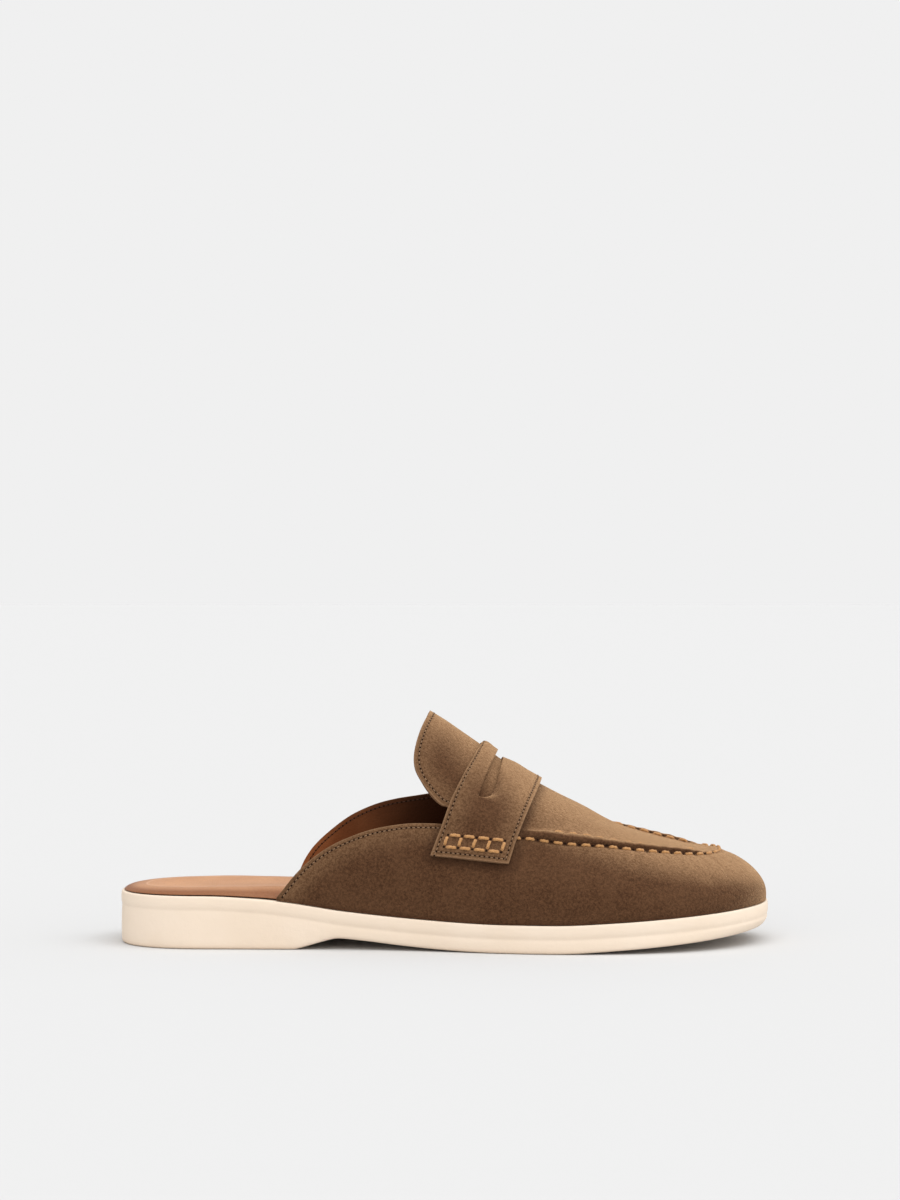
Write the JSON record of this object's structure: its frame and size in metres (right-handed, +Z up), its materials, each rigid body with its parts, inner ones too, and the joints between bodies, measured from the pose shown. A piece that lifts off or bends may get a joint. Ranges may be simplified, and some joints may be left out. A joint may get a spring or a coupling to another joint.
{
  "type": "mule",
  "caption": "Backless right shoe with a moccasin-seamed suede upper, saddle strap and flared tongue on a low-heeled moulded rubber sole.",
  "frame": {"origin": "on the floor, under the middle of the sole's length and width", "axes": "+X from heel to toe, +Y to the inner side of the foot, +Z up"},
  "size_m": [0.288, 0.097, 0.1017],
  "materials": {
    "rubber": "matt moulded cream rubber",
    "insole_leather": "smooth tan leather, soft sheen",
    "suede": "brushed taupe suede"
  },
  "bodies": {
    "root": {"sole": "rubber", "insole": "insole_leather", "upper": "suede", "tongue": "suede", "saddle_strap": "suede"}
  },
  "joints": []
}
